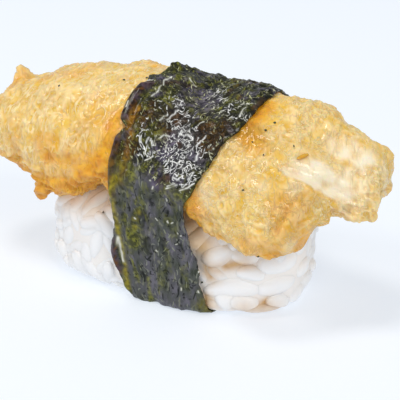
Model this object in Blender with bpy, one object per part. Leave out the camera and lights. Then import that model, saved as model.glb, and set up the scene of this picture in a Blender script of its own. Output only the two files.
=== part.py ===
"""Nigiri sushi: a battered, fried fish fillet laid over a pressed loaf of rice, with one band
of nori strapped round both.

+X runs along the piece towards its right end, -Y is the front and +Z is up.  The origin is the
middle of the underside, on the nori that passes beneath the rice.  Sizes are in millimetres and
turn into metres when a mesh is made.
"""

import bpy
import numpy as np

MM = 0.001
PI = np.pi

# Rice loaf, pressed by hand: an oblong with full sides and a rounded crown
RICE_LENGTH = 45.3
RICE_MIDDLE_X = -1.0
RICE_WIDTH = 24.5
RICE_HEIGHT = 17.5
RICE_SQUARENESS = 3.0      # exponent of the plan's superellipse
RICE_CROWN_REACH = 6.0     # rounding of the upper edge
RICE_FOOT_REACH = 3.0      # rounding of the lower edge
RICE_LUMP = 0.55           # height of the lumps that the grains leave
RICE_LUMP_LENGTH = 6.5
RICE_RINGS = 20
RICE_SIDES = 60

# Battered fillet: a thick slab, arched lengthwise and draped over the front and the back
FILLET_LENGTH = 76.4
FILLET_MIDDLE_X = -2.6
FILLET_CENTRE_Z = 26.4
FILLET_FRONT = 14.3        # from the middle line to the front edge
FILLET_BACK = 13.6         # from the middle line to the back edge
FILLET_OVER = 9.0          # thickness above the centre line
FILLET_UNDER = 8.6         # thickness below it
ARCH_LEFT = 3.0            # drop of the left tip
ARCH_RIGHT = 5.45          # drop of the right tip
ARCH_TOP_X = -3.0
DRAPE = 3.4                # drop of the edges, front and back
TILT_LEFT = 0.06           # rise of the left part towards the back, per millimetre
TILT_RIGHT = 0.24
LUMP = 0.5                 # height of the broad lumps in the batter
LUMP_LENGTH = 7.0
CRINKLE = 0.28             # height of the smaller ones on top of them
CRINKLE_LENGTH = 3.4
FRILL = 0.9                # how far the ragged lower rim stands out
FRILL_LENGTH = 3.2
VALLEY_AT = (28.0, -2.5)   # smooth hollow in the top of the right part
VALLEY_REACH = (6.0, 4.0)
VALLEY_DEPTH = 1.8
FOLD_AT = (24.0, -10.0)    # raised fold in front of it
FOLD_REACH = (8.0, 3.6)
FOLD_HEIGHT = 1.2
FILLET_RINGS = 52
FILLET_SIDES = 44

# Spurs and notches of the batter's rim: where each is, how far it is pushed, and how wide it is
RIM_PUSHES = (
    # Left end: its tip rounded off, the spur above it, and the dip behind the spur
    ((-39.0, -1.5, 28.0), (1.0, 0.0, -1.5), 3.5), ((-35.5, -5.0, 29.0), (0.5, 0.0, -0.5), 3.0),
    ((-34.0, 0.5, 31.0), (-1.0, 0.0, 2.5), 1.8), ((-31.0, 1.5, 32.5), (1.0, -0.5, -2.5), 3.1),
    ((-28.0, -1.5, 32.5), (0.0, 0.0, -0.8), 2.5),
    # Rim under the left part: the drip, the notch beside it, and the rise towards the band
    ((-31.0, -9.0, 18.0), (0.0, 0.0, 0.6), 2.5), ((-24.0, -12.5, 17.0), (0.5, 0.5, 1.5), 2.4),
    ((-21.0, -13.0, 15.0), (-0.5, 0.0, -2.0), 1.7), ((-19.0, -11.5, 14.0), (0.0, 0.5, 2.0), 2.2),
    ((-12.5, -7.5, 16.0), (0.0, 0.0, 0.7), 2.0), ((-9.5, -12.0, 16.5), (-0.5, 0.5, 2.5), 3.2),
    ((-7.5, -14.5, 19.0), (0.0, 0.5, 1.2), 2.5),
    # Beside the band on the right: the rim drawn in, and the ridge lowered behind
    ((6.0, -12.5, 16.0), (1.0, 1.0, 1.5), 2.2), ((14.5, 7.5, 33.5), (0.0, -1.0, -2.0), 3.2),
    # Lobe at the front right, and the steps on its right side
    ((20.0, -15.0, 13.5), (0.0, 0.0, 0.5), 2.0), ((23.0, -13.0, 13.5), (0.0, 0.0, -0.8), 2.0),
    ((25.5, -9.0, 14.5), (0.5, 0.0, -0.5), 2.0), ((27.0, -8.0, 16.5), (-0.5, 0.5, 1.5), 2.2),
    ((28.5, -8.0, 18.0), (1.2, 0.0, -1.0), 1.4), ((30.0, -7.0, 18.5), (-0.8, 0.5, 1.5), 1.8),
    # Right end: its shoulder and its tip, and the drip under it
    ((29.0, 7.5, 28.5), (0.0, 0.0, -0.8), 3.0), ((32.5, 7.0, 25.5), (0.8, 0.0, 0.8), 2.0),
    ((34.5, 3.0, 22.0), (-0.8, -0.5, 0.0), 2.5), ((35.5, 0.0, 20.0), (-1.8, -0.5, 0.5), 2.8),
    ((35.0, -3.0, 18.5), (0.5, 0.0, -1.2), 1.3),
)

# Nori band: one strip strapped round the fillet and the rice, wider over the top
NORI_THICKNESS = 0.5
NORI_CLEARANCE = 0.32
NORI_WIDTH_TOP = 19.8
NORI_WIDTH_WAIST = 14.2
NORI_WIDTH_FLOOR = 15.0
NORI_X_TOP = 5.6           # middle of its width over the top, at half height and on the floor
NORI_X_WAIST = 1.6
NORI_X_FLOOR = 3.8
NORI_REACH_X = (-8.0, 18.0)  # stretch of the piece over which its hull is worked out
NORI_CENTRE = np.array([0.0, RICE_HEIGHT * 0.95])  # y and z of the line that it goes round
NORI_PRESS_MARGIN = 1.2    # how much wider than the band the hollow under the rice is, each side
NORI_WRINKLE = 0.35        # how far its wrinkles stand out
NORI_WRINKLE_LENGTH = 4.5
NORI_STATIONS = 14
NORI_COLUMNS = 9
NORI_SIDES = 72

GAP = 0.35                 # left between touching pieces


# ---------------------------------------------------------------- fields and profiles

def signed_power(value, exponent):
    return np.sign(value) * np.abs(value) ** exponent


def bell(value, centre, reach):
    return np.exp(-((value - centre) / reach) ** 2)


def smooth_step(value, low, high):
    t = np.clip((value - low) / (high - low), 0.0, 1.0)
    return t * t * (3.0 - 2.0 * t)


def lattice_hash(ix, iy, iz, seed):
    """One repeatable integer for each lattice point."""
    h = (ix * 73856093) ^ (iy * 19349663) ^ (iz * 83492791) ^ (seed * 2654435)
    h &= 0x7FFFFFFF
    h = (((h >> 13) ^ h) * 1274126177) & 0x7FFFFFFF
    h = (((h >> 15) ^ h) * 668265263) & 0x7FFFFFFF
    return (h >> 14) ^ h


def noise(points, length, seed):
    """Gradient noise between about -1 and 1, with features about `length` apart."""
    scaled = points / length
    cell = np.floor(scaled).astype(np.int64)
    inside = scaled - cell
    weight = inside ** 3 * (inside * (inside * 6.0 - 15.0) + 10.0)
    total = np.zeros(points.shape[:-1])
    for corner in np.ndindex(2, 2, 2):
        h = lattice_hash(*(cell[..., axis] + corner[axis] for axis in range(3)), seed)
        turn = (h & 1023) / 1023.0 * 2.0 * PI
        rise = ((h >> 10) & 1023) / 1023.0 * 2.0 - 1.0
        flat = np.sqrt(1.0 - rise * rise)
        offset = inside - np.array(corner)
        slope = flat * np.cos(turn) * offset[..., 0] + flat * np.sin(turn) * offset[..., 1]
        slope += rise * offset[..., 2]
        share = np.where(np.array(corner) == 1, weight, 1.0 - weight).prod(axis=-1)
        total += slope * share
    return total * 1.5


# ---------------------------------------------------------------- the three surfaces

def rice_surface(sides, rings, grow=0.0, lump=RICE_LUMP):
    """Rings round Z from the foot to the crown, as an array (sides, rings, 3).

    The plan is a superellipse.  Its reach shrinks over a quarter ellipse at the foot and over a
    larger one at the crown, and noise along the outward direction makes the lumps.
    """
    turn = np.arange(sides) / sides * 2.0 * PI
    plan_x = (RICE_LENGTH / 2.0) * signed_power(np.cos(turn), 2.0 / RICE_SQUARENESS)
    plan_y = (RICE_WIDTH / 2.0) * signed_power(np.sin(turn), 2.0 / RICE_SQUARENESS)
    foot = np.linspace(0.0, PI / 2.0, rings // 4)
    side = np.linspace(0.0, 1.0, rings // 4 + 2)[1:-1]
    crown = np.linspace(0.0, PI / 2.0, rings - len(foot) - len(side))
    wall_low, wall_high = RICE_FOOT_REACH, RICE_HEIGHT - RICE_CROWN_REACH
    inset = np.concatenate([
        RICE_FOOT_REACH * (1.0 - np.sin(foot)),
        0.0 * side,
        RICE_CROWN_REACH * (1.0 - np.cos(crown))])
    height = np.concatenate([
        RICE_FOOT_REACH * (1.0 - np.cos(foot)),
        wall_low + (wall_high - wall_low) * side,
        wall_high + RICE_CROWN_REACH * np.sin(crown)])
    half_width = RICE_WIDTH / 2.0
    reach = 1.0 - inset / half_width
    belly = 1.0 + 0.03 * np.sin(PI * height / RICE_HEIGHT)
    points = np.stack([
        RICE_MIDDLE_X + plan_x[:, None] * (reach * belly)[None, :],
        plan_y[:, None] * (reach * belly)[None, :],
        np.broadcast_to(height, (sides, len(height)))], axis=-1)
    outward = points * np.array([2.0 / RICE_LENGTH, 2.0 / RICE_WIDTH, 0.0])
    outward[..., 2] = (height / RICE_HEIGHT) ** 3 * 0.8
    outward /= np.linalg.norm(outward, axis=-1, keepdims=True)
    rise = grow + lump * noise(points, RICE_LUMP_LENGTH, 3)
    moved = points + outward * rise[..., None]
    lift = smooth_step(height, 0.0, 1.5)
    points[..., :2] = moved[..., :2]
    points[..., 2] = points[..., 2] * (1.0 - lift) + moved[..., 2] * lift
    return points


def fillet_surface(sides, rings):
    """Rings round X from the left tip to the right one, as an array (sides, rings, 3).

    Each ring is a superellipse.  Its reach closes at both tips, its front and back follow the
    fillet's outline with a lobe at the front right, the centre line arches lengthwise and every
    ring droops towards its edges.
    """
    around = (np.arange(sides) / sides * 2.0 * PI)[:, None]
    along = np.linspace(0.0, PI, rings + 2)[None, 1:-1]
    half = FILLET_LENGTH / 2.0
    reach = -np.cos(along)
    x = FILLET_MIDDLE_X + half * reach
    end = (1.0 - np.abs(reach) ** 3.2) ** (1.0 / 2.6)
    front = FILLET_FRONT + 3.3 * bell(x, 21.7, 7.3) - 3.2 * bell(x, 30.3, 5.0)
    front = front - 1.5 * smooth_step(-x, 20.4, 25.4) - 2.5 * smooth_step(x, 24.4, 30.0)
    back = FILLET_BACK - 1.6 * smooth_step(x, 4.0, 20.0) + smooth_step(x, 10.0, 24.0)
    over = 1.0 - 0.05 * smooth_step(-x, 8.0, 34.0) - 0.12 * smooth_step(x, 14.0, 26.0)
    over = FILLET_OVER * (over - 0.25 * bell(x, 3.3, 4.2) - 0.15 * bell(x, 7.5, 8.5))
    under = 1.0 + 0.44 * bell(x, -19.6, 6.5) - 0.13 * smooth_step(-x, 26.5, 32.0)
    under = FILLET_UNDER * (under - 0.48 * smooth_step(x, 24.7, 28.3))
    across = np.cos(around)
    upward = np.sin(around)
    y = signed_power(across, 0.85) * np.where(across > 0.0, back, front) * end
    z = signed_power(upward, 0.85) * np.where(upward > 0.0, over, under) * end
    tip = np.where(x < ARCH_TOP_X, ARCH_LEFT, ARCH_RIGHT)
    span = np.where(x < ARCH_TOP_X, half + ARCH_TOP_X - FILLET_MIDDLE_X, half + FILLET_MIDDLE_X - ARCH_TOP_X)
    arch = tip * np.abs((x - ARCH_TOP_X) / span) ** 2.0
    droop = DRAPE * (y / FILLET_FRONT) ** 2
    tilt = TILT_LEFT + (TILT_RIGHT - TILT_LEFT) * smooth_step(x, -10.0, 14.0)
    lift = tilt * y * np.where(across > 0.0, 0.2 + 0.8 * smooth_step(upward, -0.6, 0.4), 1.0)
    height = FILLET_CENTRE_Z + z - arch - droop + lift
    top = smooth_step(upward, 0.1, 0.7)
    valley = bell(x, VALLEY_AT[0], VALLEY_REACH[0]) * bell(y, VALLEY_AT[1], VALLEY_REACH[1])
    fold = bell(x, FOLD_AT[0], FOLD_REACH[0]) * bell(y, FOLD_AT[1], FOLD_REACH[1])
    height = height + top * (FOLD_HEIGHT * fold - VALLEY_DEPTH * valley)
    points = np.stack([x + 0.0 * y, y, height], axis=-1)
    return roughen(points, across, upward, reach)


def roughen(points, across, upward, reach):
    """Move a smooth fillet outwards by its lumps, crinkles, ragged rim, and the rim's spurs and notches."""
    outward = np.stack([0.0 * points[..., 0] + reach ** 5,
                        0.0 * points[..., 0] + across,
                        0.0 * points[..., 0] + upward], axis=-1)
    outward /= np.linalg.norm(outward, axis=-1, keepdims=True)
    rise = LUMP * noise(points, LUMP_LENGTH, 11) + CRINKLE * noise(points, CRINKLE_LENGTH, 12)
    rim = bell(upward, -0.35, 0.4)
    rise = rise + FRILL * rim * noise(points, FRILL_LENGTH, 13)
    points = points + outward * rise[..., None]
    shift = np.zeros_like(points)
    for place, push, width in RIM_PUSHES:
        away = np.linalg.norm(points - np.array(place), axis=-1)
        shift += np.exp(-(away / width) ** 2)[..., None] * np.array(push)
    return points + shift


def nori_hull(sides):
    """Reach of the tight hull round the fillet and the rice, as (stations, sides).

    At each station the support of the nearby points in every direction gives the hull, and the
    least support / cos(angle between) gives its reach along a ray.
    """
    both = np.concatenate([fillet_surface(96, 160).reshape(-1, 3), rice_surface(96, 32).reshape(-1, 3)])
    turn = np.arange(sides) / sides * 2.0 * PI
    ray = np.stack([np.cos(turn), np.sin(turn)], axis=-1)
    facing = np.cos(turn[:, None] - turn[None, :])
    reach = []
    for x_station in np.linspace(*NORI_REACH_X, NORI_STATIONS):
        near = both[np.abs(both[:, 0] - x_station) < 2.2]
        support = ((near[:, 1:] - NORI_CENTRE) @ ray.T).max(axis=0)
        reach.append(np.where(facing > 0.2, support[None, :] / np.maximum(facing, 0.2), 1e9).min(axis=1))
    return np.array(reach), ray


def nori_sections(columns, sides):
    """The inner face of the band as (columns, sides, 3): the hull's reach at its own x, plus wrinkles.

    The width and the middle of the band run from the floor's to the top's with the height of the
    ray, and sin(pi * height) adds the waist.
    """
    hull, ray = nori_hull(sides)
    share = np.linspace(-1.0, 1.0, columns)[:, None]
    height = 0.5 + 0.5 * ray[None, :, 1]
    waist = np.sin(PI * height)
    width = NORI_WIDTH_FLOOR + (NORI_WIDTH_TOP - NORI_WIDTH_FLOOR) * height
    width = width + (NORI_WIDTH_WAIST - (NORI_WIDTH_TOP + NORI_WIDTH_FLOOR) / 2.0) * waist
    middle = NORI_X_FLOOR + (NORI_X_TOP - NORI_X_FLOOR) * height
    middle = middle + (NORI_X_WAIST - (NORI_X_TOP + NORI_X_FLOOR) / 2.0) * waist
    x = middle + share * width / 2.0
    station = (x - NORI_REACH_X[0]) / (NORI_REACH_X[1] - NORI_REACH_X[0]) * (NORI_STATIONS - 1)
    low = station.astype(int)
    part = station - low
    side = np.arange(sides)[None, :]
    reach = hull[low, side] * (1.0 - part) + hull[low + 1, side] * part
    flat = np.concatenate([x[..., None], ray * reach[..., None]], axis=-1)
    wrinkle = NORI_WRINKLE * (0.5 + 0.5 * noise(flat, NORI_WRINKLE_LENGTH, 21))
    reach = reach + NORI_CLEARANCE + wrinkle
    return np.concatenate([x[..., None], NORI_CENTRE + ray * reach[..., None]], axis=-1)


# ---------------------------------------------------------------- meshes

def add_piece(name, points, faces, colour, roughness):
    mesh = bpy.data.meshes.new(name)
    mesh.from_pydata((points * MM).tolist(), [], faces)
    mesh.validate()
    mesh.update()
    mesh.shade_smooth()
    piece = bpy.data.objects.new(name, mesh)
    bpy.context.scene.collection.objects.link(piece)
    material = bpy.data.materials.new(name)
    material.use_nodes = True
    shader = material.node_tree.nodes["Principled BSDF"]
    shader.inputs["Base Color"].default_value = (*colour, 1.0)
    shader.inputs["Roughness"].default_value = roughness
    mesh.materials.append(material)
    return piece


def tube_faces(sides, rings, first_pole, last_pole):
    """Quads between neighbouring rings, and a fan to a pole at each end."""
    faces = []
    for side in range(sides):
        following = (side + 1) % sides
        for ring in range(rings - 1):
            a, b = side * rings + ring, following * rings + ring
            faces.append((a, b, b + 1, a + 1))
        faces.append((following * rings, side * rings, first_pole))
        faces.append((side * rings + rings - 1, following * rings + rings - 1, last_pole))
    return faces


def closed_rings(name, surface, first_pole, last_pole, colour, roughness):
    sides, rings = surface.shape[:2]
    points = np.concatenate([surface.reshape(-1, 3), [first_pole, last_pole]])
    faces = tube_faces(sides, rings, len(points) - 2, len(points) - 1)
    return add_piece(name, points, faces, colour, roughness)


def cut(piece, cutter):
    cutter.hide_render = True
    cutter.display_type = 'WIRE'
    boolean = piece.modifiers.new("cut_" + cutter.name, 'BOOLEAN')
    boolean.operation = 'DIFFERENCE'
    boolean.solver = 'EXACT'
    boolean.object = cutter


def rice_block():
    surface = rice_surface(RICE_SIDES, RICE_RINGS)
    foot = (0.0, 0.0, 0.0)
    crown = (0.0, 0.0, surface[:, -1, 2].mean())
    return closed_rings("rice_block", surface, foot, crown, (0.86, 0.82, 0.78), 0.35)


def rice_press():
    surface = rice_surface(RICE_SIDES, RICE_RINGS, grow=GAP)
    foot = (0.0, 0.0, -1.0)
    surface[:, 0, 2] = -1.0
    crown = (0.0, 0.0, surface[:, -1, 2].mean())
    return closed_rings("rice_press", surface, foot, crown, (0.8, 0.8, 0.8), 0.5)


def tempura_fillet():
    surface = fillet_surface(FILLET_SIDES, FILLET_RINGS)
    left = surface[:, 0].mean(axis=0)
    right = surface[:, -1].mean(axis=0)
    return closed_rings("tempura_fillet", surface, left, right, (0.80, 0.48, 0.16), 0.35)


def nori_band():
    inner = nori_sections(NORI_COLUMNS, NORI_SIDES)
    outer = inner.copy()
    ray = inner[..., 1:] - NORI_CENTRE
    ray /= np.linalg.norm(ray, axis=-1, keepdims=True)
    outer[..., 1:] += ray * NORI_THICKNESS
    inner[..., 2] = np.maximum(inner[..., 2], NORI_THICKNESS)
    outer[..., 2] = np.maximum(outer[..., 2], 0.0)
    columns, sides = NORI_COLUMNS, NORI_SIDES
    loop = np.concatenate([outer, inner[::-1]])
    points = loop.reshape(-1, 3)
    faces = []
    rows = 2 * columns
    for row in range(rows):
        for side in range(sides):
            following = (side + 1) % sides
            next_row = (row + 1) % rows
            faces.append((row * sides + side, row * sides + following,
                          next_row * sides + following, next_row * sides + side))
    return add_piece("nori_band", points, faces, (0.02, 0.025, 0.015), 0.35)


def nori_press():
    """The block that the band presses out of the underside of the rice."""
    left = NORI_X_FLOOR - NORI_WIDTH_FLOOR / 2.0 - NORI_PRESS_MARGIN
    right = NORI_X_FLOOR + NORI_WIDTH_FLOOR / 2.0 + NORI_PRESS_MARGIN
    low, high = -1.0, NORI_THICKNESS + GAP
    front, back = -RICE_WIDTH, RICE_WIDTH
    points = np.array([(x, y, z) for x in (left, right) for y in (front, back) for z in (low, high)])
    faces = [(0, 1, 3, 2), (4, 6, 7, 5), (0, 4, 5, 1), (2, 3, 7, 6), (0, 2, 6, 4), (1, 5, 7, 3)]
    return add_piece("nori_press", points, faces, (0.1, 0.1, 0.1), 0.5)


def main():
    for item in list(bpy.data.objects):
        bpy.data.objects.remove(item, do_unlink=True)
    rice = rice_block()
    fillet = tempura_fillet()
    nori_band()
    cut(fillet, rice_press())
    cut(rice, nori_press())


main()
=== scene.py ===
"""Nigiri sushi: a battered, fried fish fillet over a loaf of cooked rice, strapped with nori.

Every surface is worked out in numpy, in millimetres, as a function of two parameters, and turns
into a mesh in metres.  +X runs to the piece's right end, -Y is its front and +Z is up.
"""

from functools import reduce

import bpy
import numpy as np
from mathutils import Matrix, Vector


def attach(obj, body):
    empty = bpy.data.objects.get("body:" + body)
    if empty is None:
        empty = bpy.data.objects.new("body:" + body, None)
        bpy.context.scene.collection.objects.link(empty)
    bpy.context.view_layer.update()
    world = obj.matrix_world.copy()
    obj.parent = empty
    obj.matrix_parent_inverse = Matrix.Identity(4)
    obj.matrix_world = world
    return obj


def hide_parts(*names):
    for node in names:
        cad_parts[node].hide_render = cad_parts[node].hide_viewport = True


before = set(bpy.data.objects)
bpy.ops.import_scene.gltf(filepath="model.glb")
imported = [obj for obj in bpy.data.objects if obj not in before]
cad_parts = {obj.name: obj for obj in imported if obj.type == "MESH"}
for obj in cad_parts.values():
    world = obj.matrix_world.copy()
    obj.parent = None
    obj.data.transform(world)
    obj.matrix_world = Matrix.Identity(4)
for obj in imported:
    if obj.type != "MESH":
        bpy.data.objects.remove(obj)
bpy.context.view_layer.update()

MM = 0.001
PI = np.pi

# Camera: a long lens, turned to the right of the front and looking down a little
CAMERA_AZIMUTH = np.radians(30)
CAMERA_ELEVATION = np.radians(21)
CAMERA_DISTANCE = 190
CAMERA_TARGET = np.array([2.5, 0, 14.3])
CAMERA_LENS = 102
SENSOR_WIDTH = 36
IMAGE_SIDE = 400

FLOOR_REACH = 4000
# Lamps: name, place, size, power and colour
LAMPS = (("top_lamp", (-180, -180, 1140), 330, 3.7, (1, 0.985, 0.96)),
         ("left_lamp", (-540, -600, 870), 330, 2.7, (1, 1, 1)),
         ("right_lamp", (720, -510, 750), 390, 3.3, (1, 1, 1)))

# Rice loaf
RICE_LENGTH = 45.3
RICE_MIDDLE_X = -1
RICE_WIDTH = 24.5
RICE_HEIGHT = 17.5
RICE_SQUARENESS = 3
RICE_CROWN_REACH = 6
RICE_FOOT_REACH = 3
RICE_LUMP = 0.55
RICE_LUMP_LENGTH = 6.5
CORE_DEPTH = 0.48          # how far inside the loaf's outline the core lies
CORE_FLOOR = 0.15

# Its grains
GRAIN_LENGTH = 7.8
GRAIN_WIDTH = 3.9
GRAIN_SIDES = 8
GRAIN_RINGS = 5
GRAIN_COUNT = 460
GRAIN_SPACING = 2.55
GRAIN_SEED = 5
GRAIN_DEPTH = 0.35         # how far inside the loaf's outline the grains are seated
GRAIN_PROUD = 0.45         # how far a pressed grain stands out of its seat
FRONT_PROUD = 0.8
GRAIN_LIMIT = 0.5          # how far outside the loaf's outline a grain may reach
GRAIN_FLOOR = 0.05
FOOT_SPREAD = 2            # how far the front grains spread at the foot
FOOT_OPENED = 0.75         # and the share of the foot's curve that is opened for them
FOOT_SPREAD_AT = (17.5, 5.5)

# Battered fillet
FILLET_SIDES = 290
FILLET_RINGS = 338
FILLET_LENGTH = 76.4
FILLET_MIDDLE_X = -2.6
FILLET_CENTRE_Z = 26.4
FILLET_FRONT = 14.3
FILLET_BACK = 13.6
FILLET_OVER = 9
FILLET_UNDER = 8.6
FILLET_ROUNDNESS = 0.85
ARCH_LEFT = 3
ARCH_RIGHT = 5.45
ARCH_TOP_X = -3
DRAPE = 3.4
TILT_LEFT = 0.06
TILT_RIGHT = 0.24
LUMP, LUMP_LENGTH = 0.5, 7
CRINKLE, CRINKLE_LENGTH = 0.28, 3.4
FRILL, FRILL_LENGTH = 0.9, 3.2
# A hollow and a fold on top: x and y, the reach along both, and the depth or height
VALLEY = (28, -2.5), (6, 4), -1.8
FOLD = (24, -10), (8, 3.6), 1.2
# Where the rim is pushed: the place, the push, and how far it reaches
RIM_PUSHES = (
    # Left end: its tip rounded off, the spur above it, and the dip behind the spur
    ((-39, -1.5, 28), (1, 0, -1.5), 3.5), ((-35.5, -5, 29), (0.5, 0, -0.5), 3),
    ((-34, 0.5, 31), (-1, 0, 2.5), 1.8), ((-31, 1.5, 32.5), (1, -0.5, -2.5), 3.1),
    ((-28, -1.5, 32.5), (0, 0, -0.8), 2.5),
    # Rim under the left part: the drip, the notch beside it, and the rise towards the band
    ((-31, -9, 18), (0, 0, 0.6), 2.5), ((-24, -12.5, 17), (0.5, 0.5, 1.5), 2.4),
    ((-21, -13, 15), (-0.5, 0, -2), 1.7), ((-19, -11.5, 14), (0, 0.5, 2), 2.2),
    ((-12.5, -7.5, 16), (0, 0, 0.7), 2), ((-9.5, -12, 16.5), (-0.5, 0.5, 2.5), 3.2),
    ((-7.5, -14.5, 19), (0, 0.5, 1.2), 2.5),
    # Beside the band on the right: the rim drawn in, and the ridge lowered behind
    ((6, -12.5, 16), (1, 1, 1.5), 2.2), ((14.5, 7.5, 33.5), (0, -1, -2), 3.2),
    # Lobe at the front right, and the steps on its right side
    ((20, -15, 13.5), (0, 0, 0.5), 2), ((23, -13, 13.5), (0, 0, -0.8), 2),
    ((25.5, -9, 14.5), (0.5, 0, -0.5), 2), ((27, -8, 16.5), (-0.5, 0.5, 1.5), 2.2),
    ((28.5, -8, 18), (1.2, 0, -1), 1.4), ((30, -7, 18.5), (-0.8, 0.5, 1.5), 1.8),
    # Right end: its shoulder and its tip, and the drip under it
    ((29, 7.5, 28.5), (0, 0, -0.8), 3), ((32.5, 7, 25.5), (0.8, 0, 0.8), 2),
    ((34.5, 3, 22), (-0.8, -0.5, 0), 2.5), ((35.5, 0, 20), (-1.8, -0.5, 0.5), 2.8),
    ((35, -3, 18.5), (0.5, 0, -1.2), 1.3),
)

# Places on the batter, as pixels of the photograph; each lands on the surface seen there
BATTER_MARKS = {
    "groove": ((308, 172), (318, 174), (329, 180), (337, 190)),
    "upper_patch": ((338, 148), (348, 150), (358, 154), (368, 158)),
    # whitish: spots painted paler, partly painted light that lifts the shade at the right end and in the
    # fold
    "whitish": ((262, 187), (387, 170), (387, 187), (295, 187), (290, 250), (345, 208)),
    "yellowish": ((245, 174), (226, 150), (50, 97), (22, 86), (329, 137), (222, 168), (271, 150),
                  (84, 126), (2, 102)),
    "end_patch": ((352, 178), (362, 188), (357, 199)),
    "blister": ((204, 190), (208, 202)),
    "fold": ((285, 174), (303, 181), (318, 190), (331, 197), (342, 205)),
    "crease": ((291, 203), (284, 219), (277, 232)),
    # shoulder and tan: deeper amber and tan beside the band, partly the band's painted shadow
    "shoulder": ((265, 104), (252, 118), (244, 129), (254, 140)),
    "corner": ((191, 200), (191, 209), (204, 213)),
    "left_corner": ((116, 118), (110, 134), (107, 152), (102, 168)),
    "left_rim": ((45, 189), (75, 188), (98, 178)),
    "tip_rim": ((4, 158), (20, 168), (36, 178)),
    "spur": ((21, 72), (20, 80)),
    "left_hollow": ((48, 157), (56, 160), (66, 158)),
    "lobe_rim": ((246, 243), (260, 247)),
    "tan": ((244, 128), (250, 132), (257, 138)),
    "lobe_foot": ((264, 260), (273, 260)),
    "ridge_left": ((137, 63), (147, 62)),
    "under_band": ((190, 70), (198, 73)),
}

# Nori band
NORI_SHEET = 0.2
NORI_CLEARANCE = 0.12
NORI_REACH = 18            # about how far the band runs from its middle line
NORI_CENTRE = np.array([0, RICE_HEIGHT * 0.95])
NORI_REACH_X = (-8, 18.5)
NORI_STATIONS = 27
NORI_OUTER_COLUMNS = 158
NORI_INNER_COLUMNS = 14
NORI_SIDES = 560
# Its two edges: degrees round the band from the back over the top, and the edge's x there
NORI_LEFT_EDGE = (
    (0, -5), (40, -4.8), (70, -4), (85, -4.1), (91, -3.7), (96.5, -3.9), (99, -5),
    (102, -4.6), (105, -4.4), (108, -5.3), (116, -5.6), (124, -5.5), (131, -5.1), (134.5, -3.4),
    (138, -4.9), (146, -5.3), (152, -5.6), (163, -5.5), (180, -5.4), (190, -5.1), (200, -5.7),
    (211, -6.5), (217, -6.2), (222, -4.7), (230, -3.5), (236, -2.5), (270, -3.4), (310, -4.6),
    (335, -5.4))
NORI_RIGHT_EDGE = (
    (0, 8.8), (40, 12.4), (70, 14.8), (85, 15.4), (93, 14.9), (100, 14.6), (114, 14.4),
    (121, 13.8), (129, 12.4), (139, 11.8), (145, 11.4), (152, 10.5), (163, 9.4), (169, 8.1),
    (178, 8), (190, 8.5), (199, 8.9), (206, 9.9), (214, 10), (221, 9.6), (230, 10.4),
    (240, 10.9), (270, 10.8), (310, 9.8), (335, 8.6))
# Stretches where the left edge is rolled over: from, to (degrees), width of the roll
NORI_ROLLS = ((105.5, 131.5, 1.7), (138.5, 174, 1.25), (202, 221, 1.2))
NORI_ROLL_HEIGHT = 0.75
NORI_MARKS = {
    "amber_strip": ((139, 108), (135, 114), (132, 121), (130, 129), (133, 136)),
    "amber_inner": ((131, 140), (126, 160), (122, 178)),
    "amber_flecks": ((136, 218), (136, 226), (139, 212)),
    "left_strip": ((115, 178), (112, 192), (113, 207), (116, 224), (117, 233)),
    "green_strip": ((119, 239), (124, 257), (129, 284)),
    "pale_gap": ((117, 238), (120, 250), (123, 259)),
    # roll_gleam and the gleam_ marks: where highlights are painted, fewer at dull_spots
    "roll_gleam": ((134, 96), (129, 107), (127, 117)),
    "gleam_left": ((147, 130), (144, 140), (147, 153)),
    "gleam_upper": ((182, 119), (184, 127), (192, 136), (198, 144)),
    "gleam_middle": ((182, 147), (175, 156), (178, 168), (187, 175)),
    "gleam_right": ((220, 92), (223, 102), (238, 115)),
    "gleam_low": ((194, 150), (204, 152)),
    "gleam_top": ((175, 99), (179, 106)),
    "gleam_spots": ((179, 149), (172, 164), (162, 108), (185, 124)),
    "dull_spots": ((246, 97), (242, 110), (226, 103), (149, 112), (196, 124), (206, 145),
                   (163, 185), (166, 95), (134, 146)),
    "tucked_end": ((203, 302), (208, 307), (212, 310)),
    "crown_bump": ((176, 67), (185, 68)),
    "crown_right": ((222, 77), (234, 81)),
    "crown_dent": ((192, 72), (199, 76)),
}
# purple zones: painted purple sheen
NORI_ZONES = {
    "olive": (((128, 172), (130, 192), (134, 210), (128, 240)), ((147, 97), (150, 92)),
              ((170, 72), (182, 80), (196, 82), (214, 86)), ((224, 84), (236, 92), (224, 108)),
              ((149, 128), (152, 142), (148, 157), (157, 162)), ((157, 101), (162, 99)),
              ((170, 190), (182, 188), (192, 187)), ((163, 84), (170, 94), (166, 100))),
    "brown": (((140, 122), (150, 114), (163, 112)), ((204, 129), (222, 133), (236, 141)),
              ((168, 118), (177, 121)), ((207, 143), (211, 148)), ((153, 126), (164, 130))),
    "purple": (((192, 88), (203, 96), (211, 106)), ((164, 149), (172, 144)),
               ((160, 178), (166, 183)), ((150, 83), (160, 79))),
}
# Small hollows in the hanging part, painted darker than the rest as shade
NORI_PITS = (
    ((143, 271), (146, 275)), ((164, 242), (166, 261)), ((138, 209), (141, 216)),
    ((144, 214), (146, 226)), ((153, 182), (158, 188)), ((168, 213), (168, 214)),
    ((124, 214), (127, 232)), ((159, 175), (158, 180)), ((150, 196), (153, 204)),
    ((171, 198), (173, 203)), ((181, 246), (183, 250)), ((148, 240), (149, 250)),
)
# Short glints painted white on the hanging part
NORI_PAINTED_GLINTS = (
    ((156, 218), (158, 220)), ((169, 220), (170, 222)), ((173, 222), (174, 222)),
    ((156, 250), (157, 251)), ((177, 233), (177, 234)), ((180, 236), (181, 236)),
    ((177, 243), (178, 243)), ((183, 285), (183, 286)), ((199, 271), (199, 272)),
    ((199, 289), (199, 291)), ((150, 181), (151, 181)), ((168, 187), (176, 184)),
    ((167, 199), (168, 201)), ((136, 217), (137, 218)), ((153, 189), (153, 187)),
    ((183, 188), (188, 185)),
)
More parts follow.
